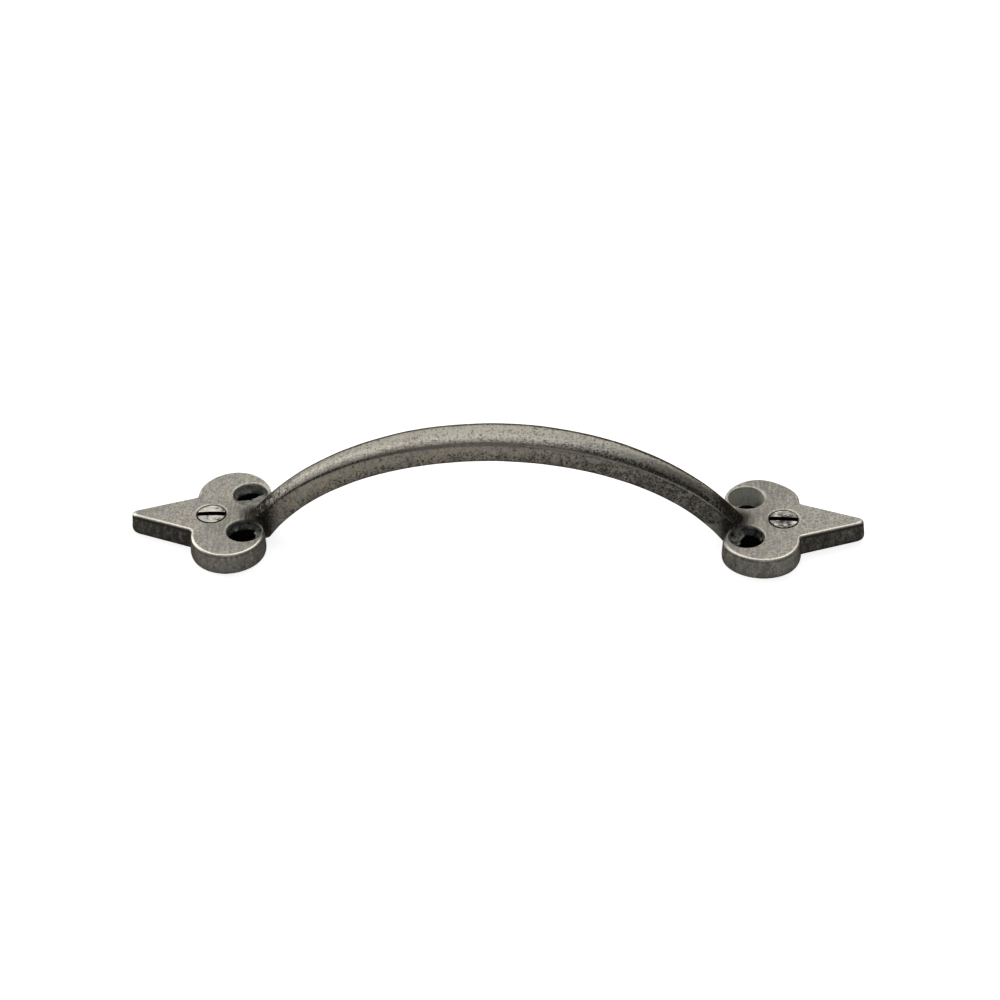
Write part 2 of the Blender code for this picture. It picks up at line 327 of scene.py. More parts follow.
def bow_section(graph, size):
    """A domed rectangle. X runs across the bow and minus Y points outwards."""
    flat_height = size["Thickness"] - size["Dome"]
    section = graph.add("GeometryNodeCurvePrimitiveQuadrilateral", None,
                        {"Width": size["Width"], "Height": flat_height})
    place = graph.add("GeometryNodeInputPosition")
    split = graph.add("ShaderNodeSeparateXYZ", None, {0: place})
    outer = (-split.out("Y")).above(0.0)
    rounding = size["Back Rounding"] + outer * (size["Arris Rounding"] - size["Back Rounding"])
    section = graph.add("GeometryNodeFilletCurve", {"mode": "POLY"},
                        {"Curve": section, "Count": ROUNDING_POINTS, "Radius": rounding})
    section = graph.add("GeometryNodeResampleCurve", {"mode": "COUNT"},
                        {"Curve": section, "Count": SECTION_POINTS})
    across = split.out("X") / (size["Width"] / 2.0)
    outwards = -split.out("Y") / (flat_height / 2.0)
    dome = size["Dome"] * (1.0 - across * across) * outwards.step(0.0, 1.0)
    offset = graph.xyz(0.0, size["Dome"] * 0.5 - dome, 0.0)
    return graph.add("GeometryNodeSetPosition", None, {"Geometry": section, "Offset": offset})


def bow_tree():
    graph, size = geometry_tree("bow_sweep", BOW_SIZES)
    bar = graph.add("GeometryNodeCurveToMesh", None,
                    {"Curve": bow_arch(graph, size), "Profile Curve": bow_section(graph, size),
                     "Fill Caps": True})
    place = graph.add("GeometryNodeInputPosition")
    split = graph.add("ShaderNodeSeparateXYZ", None, {0: place})
    run = split.out("X") / size["Root Reach"]
    taper = (run * run).math("MINIMUM", 1.0)
    narrower = (1.0 + (size["Root Share"] - 1.0) * taper) * (1.0 + run * size["Right Arm Wider"])
    sway = graph.add("ShaderNodeTexNoise", {"noise_dimensions": "3D"},
                     {"Vector": place, "Scale": size["Waves Per Metre"], "Detail": 1.0},
                     output="Color")
    sway = graph.add("ShaderNodeVectorMath", {"operation": "SUBTRACT"},
                     {0: sway, 1: (0.5, 0.5, 0.5)})
    sway = graph.add("ShaderNodeVectorMath", {"operation": "SCALE"},
                     {0: sway, "Scale": size["Waviness"] * 2.0})
    offset = graph.add("ShaderNodeVectorMath", {"operation": "ADD"},
                       {0: sway, 1: graph.xyz(0.0, split.out("Y") * (narrower - 1.0), 0.0)})
    bar = graph.add("GeometryNodeSetPosition", None, {"Geometry": bar, "Offset": offset})
    close_tree(graph, bar, bronze)
    return graph.tree


bow = link_object("bow_bar", bpy.data.meshes.new("bow_bar"))
run_tree(bow, bow_tree(), BOW_SIZES)
print("bow:", len(bow.data.polygons), "faces")

# %% [markdown]
# ## The feet
#
# A foot is a flat shape with round lobes, so it starts as an outline made of
# arcs. Stacking the outline, a little smaller each time near the top, gives
# the drafted side and the rounded edge in one loft.

# %% Outlines and lofts
def arc(centre, radius, start, end, steps):
    points = []
    for i in range(steps + 1):
        angle = start + (end - start) * i / steps
        points.append((centre[0] + radius * math.cos(angle),
                       centre[1] + radius * math.sin(angle)))
    return points


def loft(name, rings):
    """A closed solid through rings that have the same number of points."""
    bm = bmesh.new()
    loops = [[bm.verts.new(point) for point in ring] for ring in rings]
    for lower, upper in zip(loops, loops[1:]):
        for i, vert in enumerate(lower):
            j = (i + 1) % len(lower)
            bm.faces.new((vert, lower[j], upper[j], upper[i]))
    bm.faces.new(list(reversed(loops[0])))
    bm.faces.new(loops[-1])
    bmesh.ops.recalc_face_normals(bm, faces=bm.faces)
    mesh = bpy.data.meshes.new(name)
    bm.to_mesh(mesh)
    bm.free()
    return link_object(name, mesh)


def circle(radius, height, steps=96):
    ring = []
    for i in range(steps):
        angle = 2 * math.pi * i / steps
        ring.append((radius * math.cos(angle), radius * math.sin(angle), height))
    return ring


# %% The outline of a foot
NECK_HALF_WIDTH = BOW_ROOT_WIDTH / 2 - ROOT_OVERLAP
TIP_STEPS = 10
NOTCH_STEPS = 8
LOBE_STEPS = 70


def foot_outline(inset, tip_back=0.0):
    """Half of the outline, from the point to the neck, as (out, across)."""
    side_normal = math.pi / 2 - POINT_HALF_ANGLE
    tip_out = POINT_OUT - POINT_RADIUS
    notch_out = LOBE_OUT + LOBE_RADIUS + NOTCH_RADIUS
    reach = tip_out * math.cos(side_normal) + POINT_RADIUS + NOTCH_RADIUS
    notch_across = (reach - notch_out * math.cos(side_normal)) / math.sin(side_normal)
    neck = math.pi + math.asin((LOBE_ACROSS - NECK_HALF_WIDTH) / LOBE_RADIUS)
    points = arc((tip_out - tip_back, 0.0), POINT_RADIUS - inset, 0.0, side_normal, TIP_STEPS)
    points += arc((notch_out, notch_across), NOTCH_RADIUS + inset,
                  side_normal + math.pi, math.pi, NOTCH_STEPS)
    points += arc((LOBE_OUT, LOBE_ACROSS), LOBE_RADIUS - inset, 0.0, neck, LOBE_STEPS)
    return points


def foot_ring(inset, height, side, tip_back=0.0):
    half = foot_outline(inset, tip_back)
    other = [(out, -across) for out, across in reversed(half[1:])]
    return [(side * (SCREW_X + out), across, height) for out, across in half + other]


# %% The blank of a foot
BOTTOM_ROUNDING = 0.35 * MM
BOTTOM_STRETCH = 3.0
BOTTOM_STEPS = 6
TOP_STEPS = 8
TIP_TOP_BACK = 0.55 * MM
TIP_BOTTOM_BACK = 0.7 * MM


def quarter(steps):
    """The angles of a quarter turn."""
    return [math.pi / 2 * i / steps for i in range(steps + 1)]


def make_blank(name, side):
    """The foot as cast: its bottom edge is drawn out, and its tip leans back."""
    rings = [foot_ring(BOTTOM_ROUNDING, -BACK_STOCK, side, TIP_BOTTOM_BACK)]
    for angle in quarter(BOTTOM_STEPS):
        rise = 1.0 - math.cos(angle)
        fade = 1.0 - math.sin(angle)
        rings.append(foot_ring(BOTTOM_ROUNDING * fade, BOTTOM_ROUNDING * rise * BOTTOM_STRETCH,
                               side, TIP_BOTTOM_BACK * fade))
    for angle in quarter(TOP_STEPS):
        lean = 1.0 - math.cos(angle)
        height = PLATE_THICKNESS + TOP_ROUNDING * (math.sin(angle) - 1.0)
        rings.append(foot_ring(SIDE_DRAFT + TOP_ROUNDING * lean, height, side,
                               TIP_TOP_BACK * lean))
    return loft(name, rings)


# %% [markdown]
# Each foot was filed by hand, so no lobe is a perfect arc. A few places are
# pushed by some tenths of a millimetre, and the push fades with distance. A
# row of the table holds a place, the reach and the push, all in millimetres.

# %% Uneven filing
FILED = {
    "left": (((-58.8, 15.8), 7.0, (0.0, 0.55)), ((-58.8, -15.8), 6.0, (0.0, -0.2))),
    "right": (((63.5, 14.0), 5.0, (-0.2, -0.85)), ((50.4, 9.0), 4.0, (-0.3, 0.0)),
              ((50.4, -9.0), 5.0, (-0.65, 0.0)), ((58.0, -15.8), 6.0, (0.0, 0.35))),
}


def file_by_hand(foot, pushes):
    for vertex in foot.data.vertices:
        shift = Vector((0.0, 0.0, 0.0))
        for (x, y), reach, (dx, dy) in pushes:
            distance = math.hypot(vertex.co.x / MM - x, vertex.co.y / MM - y)
            share = math.exp(-(distance / reach) ** 2)
            shift += Vector((dx, dy, 0.0)) * share * MM
        vertex.co += shift


# %% [markdown]
# ## Openings, flash and screw seats
#
# Each lobe has a round opening. The casting left thin flash in three of the
# four, and nobody filed it out: it hangs from the wall like a torn skin with
# a ragged gap. A cutter takes out what isn't metal, from the back up to the
# skin and from the skin to the face. Its ring at the skin is an ellipse with
# ripples, so the hole in the flash comes out torn.

# %% What the cutters take away
FLASH_HEIGHT = 2.9 * MM
FLASH_ROOT = 0.6 * MM
FLASH_EDGE = 0.22 * MM
# Middle of the gap, its half lengths, its turn, and the phase of its ripples
FLASH_GAPS = {
    ("left", "far"): ((0.4 * MM, 1.9 * MM), (3.7 * MM, 1.3 * MM), math.radians(-27.0), 0.4),
    ("left", "near"): ((0.7 * MM, 0.4 * MM), (3.4 * MM, 2.9 * MM), math.radians(-12.0), 1.7),
    ("right", "near"): ((1.1 * MM, 0.3 * MM), (2.5 * MM, 3.1 * MM), math.radians(15.0), 3.1),
}
# Ripples in one turn, their share of the gap's size, and their own phase
FLASH_RIPPLES = ((3, 0.12, 1.0), (7, 0.09, 2.3), (11, 0.07, 4.1))
RIM_STEPS = 6


def flash_gap(gap, height):
    (gap_out, gap_across), (long_half, short_half), tilt, phase = gap
    ring = []
    for x, y, _ in circle(1.0, 0.0):
        angle = math.atan2(y, x)
        turned = angle - tilt
        reach = long_half * short_half / math.hypot(
            short_half * math.cos(turned), long_half * math.sin(turned))
        for count, share, turn in FLASH_RIPPLES:
            reach += reach * share * math.sin(count * angle + turn * phase)
        out = gap_out + reach * x
        across = gap_across + reach * y
        excess = max(math.hypot(out, across) / OPENING_RADIUS, 1.0)
        ring.append((out / excess, across / excess, height))
    return ring


def placed(ring, out, across, side):
    return [(side * (SCREW_X + out + x), across + y, z) for x, y, z in ring]


def opening_cutter(name, side, across, gap):
    rings = [circle(OPENING_RADIUS, -2 * BACK_STOCK)]
    if gap:
        rings.append(circle(OPENING_RADIUS, FLASH_HEIGHT - FLASH_ROOT))
        rings.append(flash_gap(gap, FLASH_HEIGHT - FLASH_EDGE))
        rings.append(flash_gap(gap, FLASH_HEIGHT + FLASH_EDGE))
        rings.append(circle(OPENING_RADIUS, FLASH_HEIGHT + FLASH_ROOT))
    for angle in quarter(RIM_STEPS):
        rings.append(circle(OPENING_RADIUS + OPENING_RIM * (1.0 - math.cos(angle)),
                            PLATE_THICKNESS + OPENING_RIM * (math.sin(angle) - 1.0)))
    rings.append(circle(OPENING_RADIUS + OPENING_RIM, PLATE_THICKNESS + BACK_STOCK))
    return loft(name, [placed(ring, OPENING_OUT, across, side) for ring in rings])


SEAT_CLEARANCE = 0.3 * MM
HEAD_HALF_ANGLE = math.radians(41.0)
SHANK_RADIUS = 1.75 * MM
SEAT_SHIFT = {"left": (0.3 * MM, -0.1 * MM), "right": (-0.1 * MM, 0.2 * MM)}


def seat_cutter(name, side, shift):
    hole = SHANK_RADIUS + SEAT_CLEARANCE
    mouth = HEAD_RADIUS + SEAT_CLEARANCE / math.cos(HEAD_HALF_ANGLE)
    cone_foot = PLATE_THICKNESS - (mouth - hole) / math.tan(HEAD_HALF_ANGLE)
    profile = ((hole, -2 * BACK_STOCK), (hole, cone_foot),
               (mouth, PLATE_THICKNESS), (mouth, PLATE_THICKNESS + BACK_STOCK))
    return loft(name, [placed(circle(r, z), side * shift[0], shift[1], side) for r, z in profile])


# %% Cut both feet
def cut(target, cutters):
    for cutter in cutters:
        modifier = target.modifiers.new(cutter.name, "BOOLEAN")
        modifier.operation = "DIFFERENCE"
        modifier.object = cutter
    apply_modifiers(target)
    for cutter in cutters:
        bpy.data.objects.remove(cutter, do_unlink=True)


blanks = []
for side_name, side in SIDES.items():
    foot = make_blank(side_name + "_foot", side)
    file_by_hand(foot, FILED[side_name])
    cutters = [seat_cutter(side_name + "_seat", side, SEAT_SHIFT[side_name])]
    for place in ("far", "near"):
        across = OPENING_ACROSS[side_name, place]
        gap = FLASH_GAPS.get((side_name, place))
        cutters.append(opening_cutter(f"{side_name}_{place}_opening", side, across, gap))
    cut(foot, cutters)
    blanks.append(foot)
    print(foot.name, len(foot.data.polygons), "faces after cutting")

# %% [markdown]
# ## One casting out of three shapes
#
# Bow and feet are one pour of metal, so they must not merely touch. A voxel
# remesh turns the overlapping shapes into one skin, and a little smoothing
# rounds the inner corners the way molten metal fills a mould. The back stays
# flat, because it was ground.

# %% Fuse, smooth and grind flat
VOXEL = 0.275 * MM
SMOOTH_PASSES = 3


def join_meshes(name, objects):
    bm = bmesh.new()
    for obj in objects:
        bm.from_mesh(obj.data)
        bpy.data.objects.remove(obj, do_unlink=True)
    mesh = bpy.data.meshes.new(name)
    bm.to_mesh(mesh)
    bm.free()
    return link_object(name, mesh)


def vertex_positions(mesh):
    flat = np.zeros(len(mesh.vertices) * 3, np.float32)
    mesh.vertices.foreach_get("co", flat)
    return flat.reshape(-1, 3).astype(np.float64)


def edge_ends(mesh):
    flat = np.zeros(len(mesh.edges) * 2, np.int32)
    mesh.edges.foreach_get("vertices", flat)
    return flat.reshape(-1, 2)


def averaged(values, ends, passes):
    """Each pass replaces a vertex's value by the mean of its neighbours."""
    count = np.bincount(ends.ravel(), minlength=len(values)).astype(float)
    count = count.reshape(-1, *[1] * (values.ndim - 1))
    for _ in range(passes):
        total = np.zeros_like(values)
        np.add.at(total, ends[:, 0], values[ends[:, 1]])
        np.add.at(total, ends[:, 1], values[ends[:, 0]])
        values = total / count
    return values


pull = join_meshes("pull_casting", [bow, *blanks])
remesh = pull.modifiers.new("fuse", "REMESH")
remesh.mode = "VOXEL"
remesh.voxel_size = VOXEL
apply_modifiers(pull)

ends = edge_ends(pull.data)
points = vertex_positions(pull.data)
points = 0.5 * points + 0.5 * averaged(points, ends, SMOOTH_PASSES)
points[:, 2] = np.maximum(points[:, 2], 0.0)
pull.data.vertices.foreach_set("co", points.astype(np.float32).ravel())
pull.data.update()
print("casting:", len(pull.data.vertices), "vertices")

# %% [markdown]
# The ground back is perfectly flat now, so thousands of small faces there
# show nothing. They are merged into a few large ones.

# %% Merge the faces of the flat back
bm = bmesh.new()
bm.from_mesh(pull.data)
flat = [v for v in bm.verts if all(other.co.z <= 0.0 for edge in v.link_edges
                                   for other in edge.verts)]
flat_edges = list(dict.fromkeys(edge for v in flat for edge in v.link_edges))
bmesh.ops.dissolve_limit(bm, angle_limit=math.radians(0.5), verts=flat, edges=flat_edges)
bm.to_mesh(pull.data)
bm.free()
pull.data.calc_loop_triangles()
print("casting:", len(pull.data.loop_triangles), "triangles")

ends = edge_ends(pull.data)
points = vertex_positions(pull.data)

# %% [markdown]
# ## Where the rubbing reached and where edges get painted highlights
#
# The patina is dark where a cloth can't reach and pale where it rubs. Both
# follow the shape, so they are measured on the mesh and stored as attributes:
# how far a vertex stands out of its smoothed surroundings (an edge) or lies
# in them (a hollow). Edges that face the front get the most pale, which is
# wear and a painted highlight together.

# %% Edges and hollows as attributes
def vertex_normals(mesh):
    flat = np.zeros(len(mesh.vertices) * 3, np.float32)
    mesh.vertices.foreach_get("normal", flat)
    return flat.reshape(-1, 3).astype(np.float64)


def store(mesh, name, values):
    attribute = mesh.attributes.new(name, "FLOAT", "POINT")
    attribute.data.foreach_set("value", values.astype(np.float32))


def smoothstep(values, low, high):
    share = np.clip((values - low) / (high - low), 0.0, 1.0)
    return share * share * (3 - 2 * share)


EDGE_PASSES = 6
HOLLOW_PASSES = 60

normals = vertex_normals(pull.data)
near = ((points - averaged(points, ends, EDGE_PASSES)) * normals).sum(1)
wide = ((points - averaged(points, ends, HOLLOW_PASSES)) * normals).sum(1)
edge = smoothstep(averaged(near, ends, 1), 0.03 * MM, 0.10 * MM)
# Edges facing the front get more: part wear, part painted highlight.
towards_front = -averaged(normals, ends, EDGE_PASSES)[:, 1]
edge = edge * (0.10 + 0.90 * smoothstep(towards_front, -0.15, 0.22))
hollow = smoothstep(-averaged(wide, ends, 4), 0.05 * MM, 0.45 * MM)
store(pull.data, "edge", edge)
store(pull.data, "hollow", hollow)
print(f"edges stand out by up to {near.max() / MM:.2f} mm, "
      f"hollows lie in by up to {-wide.min() / MM:.2f} mm")

# %% [markdown]
# The patina and the painted shade on the bow follow the bow, so each vertex
# gets the bow's own coordinates. One runs from -1 at the left foot to 1 at
# the right foot, the other is the height over the arris, in millimetres.

# %% Places on the bow
def bow_coordinates(points):
    """Angle along the bow's ellipse, and height over its middle line."""
    x, _, z = points.T
    angle = np.arctan2(x / BOW_HALF_SPAN, (z - BOW_CENTRE_HEIGHT) / BOW_RISE)
    centre_x = BOW_HALF_SPAN * np.sin(angle)
    centre_z = BOW_CENTRE_HEIGHT + BOW_RISE * np.cos(angle)
    normal_x = BOW_RISE * np.sin(angle)
    normal_z = BOW_HALF_SPAN * np.cos(angle)
    length = np.hypot(normal_x, normal_z)
    outward = ((x - centre_x) * normal_x + (z - centre_z) * normal_z) / length
    return angle, outward


ARRIS_OUTWARD = BOW_THICKNESS / 2 - BOW_DOME

angle, outward = bow_coordinates(points)
landing = math.acos(LANDING_SHARE)
on_bow = smoothstep(points[:, 2], PLATE_THICKNESS + 0.2 * MM, PLATE_THICKNESS + 1.0 * MM)
store(pull.data, "on_bow", on_bow)
store(pull.data, "bow_run", angle / landing)
store(pull.data, "over_arris", (outward - ARRIS_OUTWARD) / MM)
print(f"{on_bow.mean():.0%} of the casting's vertices are on the bow")

# %% [markdown]
# Inside the openings the casting kept its rough skin. How pale it is differs
# from opening to opening, as painted light, and below the flash it is painted
# black as painted shade. The rims of the openings wear less than the outer
# edges.

# %% Inside the openings
# How much light each opening's skin seems to get, painted into its colour.
PAINTED_SKIN_LIGHT = {("left", "far"): 0.42, ("left", "near"): 0.20, ("right", "far"): 0.95,
              ("right", "near"): 0.22}
in_opening = np.zeros(len(points))
at_rim = np.zeros(len(points))
skin_tone = np.zeros(len(points))
above_flash = smoothstep(points[:, 2], FLASH_HEIGHT - 0.75 * MM, FLASH_HEIGHT - 0.25 * MM)
for (side_name, place), lobe in OPENING_ACROSS.items():
    opening_x = SIDES[side_name] * (SCREW_X + OPENING_OUT)
    distance = np.hypot(points[:, 0] - opening_x, points[:, 1] - lobe)
    inside = 1.0 - smoothstep(distance, OPENING_RADIUS + 0.05 * MM, OPENING_RADIUS + 0.3 * MM)
    in_opening = np.maximum(in_opening, inside)
    # Below the flash the skin is painted black, as shade.
    lit = above_flash if (side_name, place) in FLASH_GAPS else 1.0
    skin_tone = np.where(inside > 0.0, PAINTED_SKIN_LIGHT[side_name, place] * lit, skin_tone)
    rim = 1.0 - smoothstep(distance, OPENING_RADIUS + 0.5 * MM, OPENING_RADIUS + 0.8 * MM)
    at_rim = np.maximum(at_rim, rim)
depth = smoothstep(PLATE_THICKNESS - points[:, 2], 0.15 * MM, 0.5 * MM)
in_opening = in_opening * depth * (1.0 - on_bow)
store(pull.data, "in_opening", in_opening)
store(pull.data, "at_rim", at_rim)
store(pull.data, "skin_tone", skin_tone)
print(f"{in_opening.mean():.0%} of them are inside an opening")

# %% [markdown]
# The seats round the screws and the feet where the bow meets them are darker:
# some dirt, and painted shade in the countersinks and between bow and foot. At
# the roots the painted shade reaches further to the front than to the back.

# %% Round the screws and at the roots
seat_distance = np.full(len(points), np.inf)
for side_name, (dx, dy) in SEAT_SHIFT.items():
    seat_x = dx + SIDES[side_name] * SCREW_X
    reach = np.hypot(points[:, 0] - seat_x, points[:, 1] - dy)
    seat_distance = np.minimum(seat_distance, reach)
# Painted shade and dirt in the countersink round each screw head.
in_seat = 1.0 - smoothstep(seat_distance, HEAD_RADIUS + 0.2 * MM, HEAD_RADIUS + 0.45 * MM)
store(pull.data, "in_seat", in_seat)

FRONT_SQUEEZE = 0.85
BACK_SQUEEZE = 1.2
squeeze = np.where(points[:, 1] < 0.0, FRONT_SQUEEZE, BACK_SQUEEZE)
root_distance = np.hypot(np.abs(points[:, 0]) - ROOT_X - 1.0 * MM, points[:, 1] * squeeze)
# Painted shade where the bow meets a foot, with a weaker ring further out.
root_shade = 1.0 - smoothstep(root_distance, 1.5 * MM, 6.0 * MM)
root_shade = root_shade + 0.32 * (1.0 - smoothstep(root_distance, 4.0 * MM, 15.0 * MM))
store(pull.data, "root_shade", root_shade)
print(f"{in_seat.mean():.0%} are in a seat, {(root_shade > 0.5).mean():.0%} at a root")

# %% Hand the casting over
pull.data.materials.clear()
pull.data.materials.append(bronze)
pull.data.shade_smooth()
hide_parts("cast_pull")
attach(pull, "root")
print(pull.name, "stands in for cast_pull")

# %% [markdown]
# ## The screws
#
# A screw is turned, threaded and slotted. Python draws half of its outline,
# and the tree does what the lathe, the die and the saw do: it spins the
# outline round, draws the shank in along a helix and cuts the slot. Both
# screws come from the same tree with another turn of the slot. Their heads
# sit a little deeper than the solids' heads and their slots are wider, which
# comes closer to the photo.

# %% Outline of the turned blank
HEAD_TOP = PLATE_THICKNESS - 0.08 * MM
HEAD_CAMBER = 0.14 * MM
HEAD_LAND = 0.2 * MM
CAMBER_STEPS = 8
SCREW_TIP = screw_low.z
SCREW_POINT = 4.0 * MM
TIP_SHARE = 0.14
THREAD_STEPS = 150


def blank_profile():
    """Half outline as (radius, height), from the middle of the head down."""
    points = []
    for i in range(CAMBER_STEPS + 1):
        share = i / CAMBER_STEPS
        points.append((HEAD_RADIUS * share, HEAD_TOP + HEAD_CAMBER * (1.0 - share ** 2)))
    cone_top = HEAD_TOP - HEAD_LAND
    points.append((HEAD_RADIUS, cone_top))
    cone_foot = cone_top - (HEAD_RADIUS - SHANK_RADIUS) / math.tan(HEAD_HALF_ANGLE)
    for i in range(THREAD_STEPS + 1):
        height = cone_foot + (SCREW_TIP - cone_foot) * i / THREAD_STEPS
        taper = min((height - SCREW_TIP) / SCREW_POINT, 1.0)
        points.append((SHANK_RADIUS * (TIP_SHARE + (1.0 - TIP_SHARE) * taper), height))
    points.append((0.0, SCREW_TIP))
    return points


def profile_mesh(name, profile):
    """The outline as a wire. Curve to Mesh turns its Y axis downwards."""
    mesh = bpy.data.meshes.new(name)
    vertices = [(radius, -height, 0.0) for radius, height in profile]
    mesh.from_pydata(vertices, [(i, i + 1) for i in range(len(profile) - 1)], [])
    return mesh


# %% The lathe, the die and the saw
SCREW_SIZES = {
    "Thread Pitch": 1.5 * MM,
    "Thread Depth": 0.35 * MM,
    "Thread Top": -1.0 * MM,
    "Slot Width": 1.4 * MM,
    "Slot Floor": HEAD_TOP - 0.9 * MM,
    "Slot Turn": 0.0,
    "Centre X": 0.0,
    "Centre Y": 0.0,
}
SCREW_SIDES = 64
POLE_RADIUS = 0.002 * MM
SAW_HEIGHT = 4.0 * MM
SLOT_TURN = {"left": 2.0, "right": -3.0}


def cut_thread(graph, size, blank):
    """Pulls the shank in between the turns of a helix and closes the poles."""
    place = graph.add("GeometryNodeInputPosition")
    split = graph.add("ShaderNodeSeparateXYZ", None, {0: place})
    around = split.out("Y").math("ARCTAN2", split.out("X")) / (2 * math.pi)
    turn = (split.out("Z") / size["Thread Pitch"] - around).math("FRACT")
    crest = 1.0 - (turn * 2.0 - 1.0).abs()
    cutting = (size["Thread Top"] - split.out("Z")).step(0.0, 1.0 * MM)
    radius = (split.out("X") ** 2 + split.out("Y") ** 2) ** 0.5
    valley = size["Thread Depth"] * (1.0 - crest) * cutting
    shrink = (valley.math("MINIMUM", radius * 0.6)) / radius * -1.0
    offset = graph.xyz(split.out("X") * shrink, split.out("Y") * shrink, 0.0)
    threaded = graph.add("GeometryNodeSetPosition", None,
                         {"Geometry": blank, "Offset": offset})
    return graph.add("GeometryNodeMergeByDistance", None,
                     {"Geometry": threaded, "Distance": 4 * POLE_RADIUS})


def saw_slot(graph, size, body):
    """Takes a turned box out of the head."""
    saw = graph.add("GeometryNodeMeshCube", None,
                    {"Size": graph.xyz(4.0 * HEAD_RADIUS, size["Slot Width"], SAW_HEIGHT)})
    saw = graph.add("GeometryNodeTransform", None,
                    {"Geometry": saw,
                     "Translation": graph.xyz(0.0, 0.0, size["Slot Floor"] + SAW_HEIGHT / 2),
                     "Rotation": graph.xyz(0.0, 0.0, size["Slot Turn"])})
    return graph.add("GeometryNodeMeshBoolean",
                     {"operation": "DIFFERENCE", "solver": "EXACT"},
                     {"Mesh 1": body, "Mesh 2": saw})


def screw_tree():
    graph, size = geometry_tree("turned_screw", SCREW_SIZES)
    outline = graph.add("GeometryNodeMeshToCurve", None, {"Mesh": size["Geometry"]})
    spindle = graph.add("GeometryNodeCurvePrimitiveCircle", {"mode": "RADIUS"},
                        {"Resolution": SCREW_SIDES, "Radius": POLE_RADIUS})
    blank = graph.add("GeometryNodeCurveToMesh", None,
                      {"Curve": spindle, "Profile Curve": outline})
    slotted = saw_slot(graph, size, cut_thread(graph, size, blank))
    place = graph.xyz(size["Centre X"], size["Centre Y"], 0.0)
    moved = graph.add("GeometryNodeTransform", None,
                      {"Geometry": slotted, "Translation": place})
    close_tree(graph, moved, nickel)
    return graph.tree


# %% Make both screws
tree = screw_tree()
for side_name, side in SIDES.items():
    screw = link_object(side_name + "_wood_screw", profile_mesh("outline", blank_profile()))
    sizes = dict(SCREW_SIZES)
    sizes["Slot Turn"] = math.radians(SLOT_TURN[side_name])
    sizes["Centre X"] = side * SCREW_X + SEAT_SHIFT[side_name][0]
    sizes["Centre Y"] = SEAT_SHIFT[side_name][1]
    run_tree(screw, tree, sizes)
    screw.data.shade_smooth()
    screw.data.set_sharp_from_angle(angle=math.radians(35.0))
    bm = bmesh.new()
    bm.from_mesh(screw.data)
    volume = bm.calc_volume(signed=True) / MM ** 3
    bm.free()
    print(screw.name, len(screw.data.polygons), "faces,", round(volume, 1), "cubic mm")
    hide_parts(side_name + "_screw")
    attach(screw, "root")

# %% [markdown]
# ## Rubbed bronze
#
# The finish has four layers: bare satin metal, a dark patina over it that
# also carries painted shade, pale worn edges that also carry painted
# highlights, and the rough grey skin inside the openings, painted paler or
# darker per opening. Each layer is a colour, and a mask says where it shows.
# The masks are sums of three things: the stored attributes, the direction
# that the surface faces, and noise.
# Noise scales are in cells per metre, so 1900 is a grain of half a millimetre.

# %% What the masks are made of
ATTRIBUTES = ("edge", "hollow", "on_bow", "in_opening", "in_seat", "at_rim", "skin_tone",
              "root_shade", "over_arris", "bow_run")
EVEN = (1.0, 1.0, 1.0)
GRAINS = {
    "cloud": (330.0, 3.0, 0.6, EVEN),
    "broad": (95.0, 2.0, 0.5, EVEN),
    "blots": (800.0, 2.0, 0.6, EVEN),
    "fine": (1900.0, 2.0, 0.75, EVEN),
    "brush": (1300.0, 2.0, 0.6, (2.0, 0.22, 1.0)),
    "streak": (900.0, 3.0, 0.6, (1.0, 1.0, 0.3)),
    "speck": (1500.0, 2.0, 0.5, EVEN),
}


def read_surface(graph):
    """Place, direction, attributes and noise of the surface, each as a Wire."""
    place = graph.add("ShaderNodeTexCoord").out("Object")
    where = graph.add("ShaderNodeSeparateXYZ", None, {0: place})
    normal = graph.add("ShaderNodeNewGeometry").out("Normal")
    facing = graph.add("ShaderNodeSeparateXYZ", None, {0: normal})
    wires = {"x": where.out("X"), "y": where.out("Y"), "z": where.out("Z"),
             "facing_y": facing.out("Y"), "facing_z": facing.out("Z")}
    for name in ATTRIBUTES:
        wires[name] = graph.add("ShaderNodeAttribute", {"attribute_name": name}).out("Fac")
    for name, (scale, detail, roughness, stretch) in GRAINS.items():
        vector = graph.add("ShaderNodeMapping", None, {"Vector": place, "Scale": stretch})
        wires[name] = graph.add("ShaderNodeTexNoise", {"noise_dimensions": "3D"},
                                {"Vector": vector, "Scale": scale, "Detail": detail,
                                 "Roughness": roughness})
    return SimpleNamespace(**wires)


# %% [markdown]
# The sides of the feet are darker than their faces, patina and painted shade
# together, most of all on the points, and a thin painted dark line runs right
# under the rubbed edge.

# %% Patina and painted shade of the feet
LOBE_END_X = SCREW_X + LOBE_OUT + LOBE_RADIUS
UNDER_EDGE = PLATE_THICKNESS - 0.65 * MM


def foot_patina_and_shade(at):
    # Sides are painted darker than the faces: patina with painted shade, most on the points.
    side = 1.0 - at.facing_z.step(0.3, 0.85)
    on_point = at.x.abs().step(LOBE_END_X - 0.3 * MM, LOBE_END_X + 0.3 * MM)
    rubbed = at.z.step(PLATE_THICKNESS - 1.6 * MM, PLATE_THICKNESS - 0.4 * MM)
    patina_and_shade = side * (0.42 + on_point * 0.42 - rubbed * 0.22 * (1.0 - on_point))
    patina_and_shade = patina_and_shade + side * (at.streak - 0.5) * 0.8
    # A painted dark line under the rubbed edge, as shade where the rounding turns down.
    return patina_and_shade + side * at.z.line(UNDER_EDGE, 0.4 * MM) * 0.35


